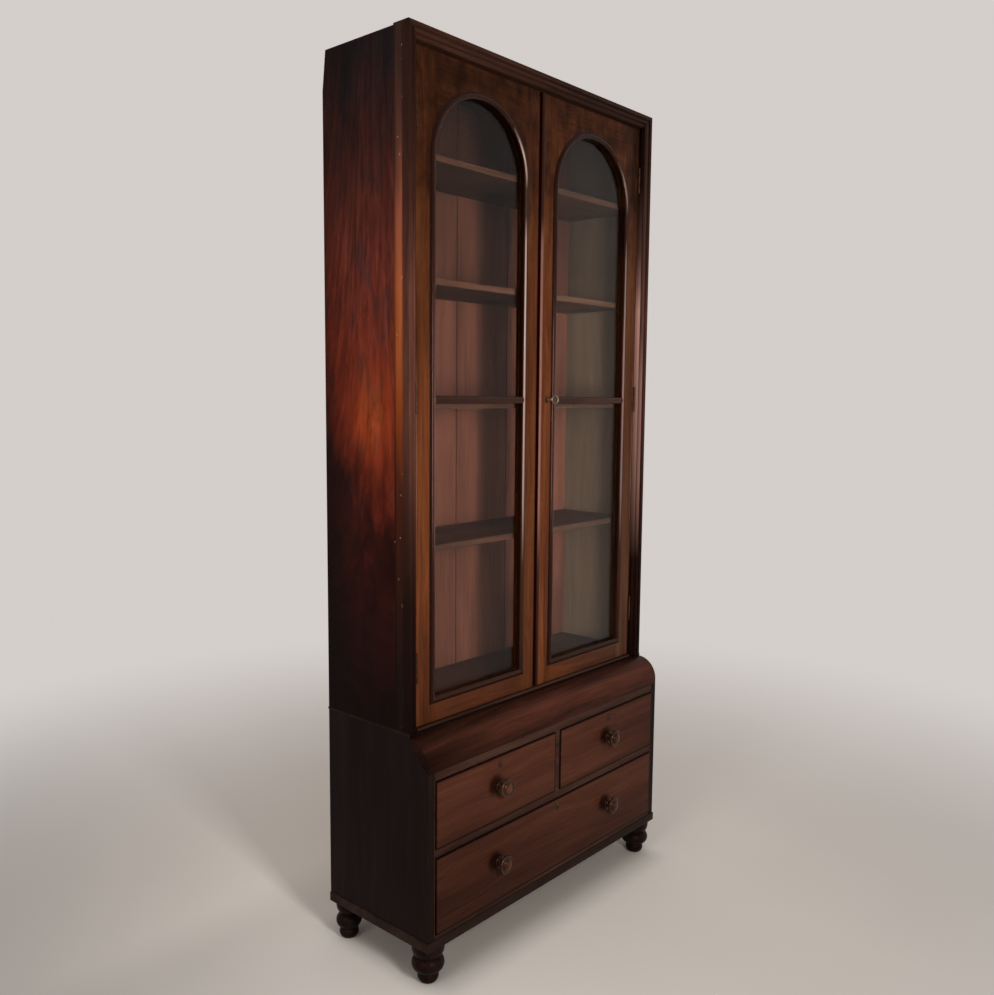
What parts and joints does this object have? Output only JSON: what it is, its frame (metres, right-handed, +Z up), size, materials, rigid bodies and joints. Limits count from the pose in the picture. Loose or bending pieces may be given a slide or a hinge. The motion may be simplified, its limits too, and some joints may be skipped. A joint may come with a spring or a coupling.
{
  "type": "display cabinet",
  "caption": "Tall glazed display cabinet on a deeper chest of drawers, with round-arched glass doors, fixed shelves, a quarter-round frieze, turned knobs and turned feet",
  "frame": {"origin": "centre of the footprint on the floor", "axes": "+Z up, front (doors and drawers) faces -Y, X along the front"},
  "size_m": [1.014, 0.4124, 2.3],
  "materials": {
    "carcass_wood": "old mahogany, French polished, flame figure on the sides",
    "door_wood": "mid-brown polished mahogany",
    "turned_wood": "turned, dark polish",
    "knob_wood": "turned, polished, worn at the rims",
    "interior_wood": "stained boards, low sheen",
    "plain_wood": "unpolished secondary timber",
    "brass": "aged brass",
    "clear_glass": "old clear window glass"
  },
  "bodies": {
    "carcass": {"back_boards": "interior_wood", "base_back": "plain_wood", "base_floor": "plain_wood", "base_side_left": "carcass_wood", "base_side_right": "carcass_wood", "base_top": "plain_wood", "case_floor": "interior_wood", "case_side_left": "carcass_wood", "case_side_right": "carcass_wood", "case_top": "interior_wood", "cornice_moulding": "carcass_wood", "door_stop": "interior_wood", "drawer_divider": "carcass_wood", "drawer_rails": "carcass_wood", "drawer_runners": "plain_wood", "face_frame": "carcass_wood", "frame_hinge_leaves": "brass", "frieze": "carcass_wood", "front_feet": "turned_wood", "left_frame_moulding": "carcass_wood", "locating_dowels": "plain_wood", "opening_beads": "carcass_wood", "plinth_moulding": "carcass_wood", "rear_feet": "turned_wood", "right_frame_moulding": "carcass_wood", "shelf_1": "interior_wood", "shelf_2": "interior_wood", "shelf_3": "interior_wood", "shelf_4": "interior_wood", "sill_rail": "carcass_wood", "waist_beads": "carcass_wood"},
    "left_door": {"left_door_frame": "door_wood", "left_door_glass": "clear_glass", "left_door_bead": "door_wood", "left_hinge_leaves": "brass", "door_bolt_plates": "brass"},
    "right_door": {"right_door_frame": "door_wood", "right_door_glass": "clear_glass", "right_door_bead": "door_wood", "right_hinge_leaves": "brass", "door_lock": "brass"},
    "door_lock_bolt": {"door_lock_bolt": "brass"},
    "door_key": {"door_key": "brass"},
    "top_door_bolt": {"top_door_bolt": "brass"},
    "bottom_door_bolt": {"bottom_door_bolt": "brass"},
    "left_drawer": {"left_drawer_front": "carcass_wood", "left_drawer_box": "plain_wood", "left_drawer_knob": "knob_wood", "left_drawer_lock": "brass"},
    "left_drawer_bolt": {"left_drawer_bolt": "brass"},
    "right_drawer": {"right_drawer_front": "carcass_wood", "right_drawer_box": "plain_wood", "right_drawer_knob": "knob_wood", "right_drawer_lock": "brass"},
    "right_drawer_bolt": {"right_drawer_bolt": "brass"},
    "long_drawer": {"long_drawer_front": "carcass_wood", "long_drawer_box": "plain_wood", "long_drawer_knob": "knob_wood", "long_drawer_lock": "brass"},
    "long_drawer_bolt": {"long_drawer_bolt": "brass"}
  },
  "joints": [
    {"name": "left_door_hinge", "type": "hinge", "parent": "carcass", "child": "left_door", "pos_m": [-0.465, -0.087, 1.4515], "axis": [0, 0, -1], "range_deg": [0, 100]},
    {"name": "right_door_hinge", "type": "hinge", "parent": "carcass", "child": "right_door", "pos_m": [0.465, -0.087, 1.4515], "axis": [0, 0, 1], "range_deg": [0, 100]},
    {"name": "door_key_turn", "type": "hinge", "parent": "right_door", "child": "door_key", "pos_m": [0.0355, -0.071, 1.45], "axis": [0, 1, 0], "range_deg": [0, 90]},
    {"name": "door_lock_bolt_slide", "type": "slide", "parent": "right_door", "child": "door_lock_bolt", "axis": [-1, 0, 0], "range_m": [0, 0.009]},
    {"name": "top_door_bolt_slide", "type": "slide", "parent": "left_door", "child": "top_door_bolt", "axis": [0, 0, 1], "range_m": [0, 0.012]},
    {"name": "bottom_door_bolt_slide", "type": "slide", "parent": "left_door", "child": "bottom_door_bolt", "axis": [0, 0, -1], "range_m": [0, 0.012]},
    {"name": "left_drawer_slide", "type": "slide", "parent": "carcass", "child": "left_drawer", "axis": [0, -1, 0], "range_m": [0, 0.27]},
    {"name": "left_drawer_bolt_slide", "type": "slide", "parent": "left_drawer", "child": "left_drawer_bolt", "axis": [0, 0, 1], "range_m": [0, 0.008]},
    {"name": "right_drawer_slide", "type": "slide", "parent": "carcass", "child": "right_drawer", "axis": [0, -1, 0], "range_m": [0, 0.27]},
    {"name": "right_drawer_bolt_slide", "type": "slide", "parent": "right_drawer", "child": "right_drawer_bolt", "axis": [0, 0, 1], "range_m": [0, 0.008]},
    {"name": "long_drawer_slide", "type": "slide", "parent": "carcass", "child": "long_drawer", "axis": [0, -1, 0], "range_m": [0, 0.27]},
    {"name": "long_drawer_bolt_slide", "type": "slide", "parent": "long_drawer", "child": "long_drawer_bolt", "axis": [0, 0, 1], "range_m": [0, 0.008]}
  ],
  "couplings": [
    {"joint": "door_lock_bolt_slide", "follows": "door_key_turn", "m_per_rad": 0.005729}
  ]
}
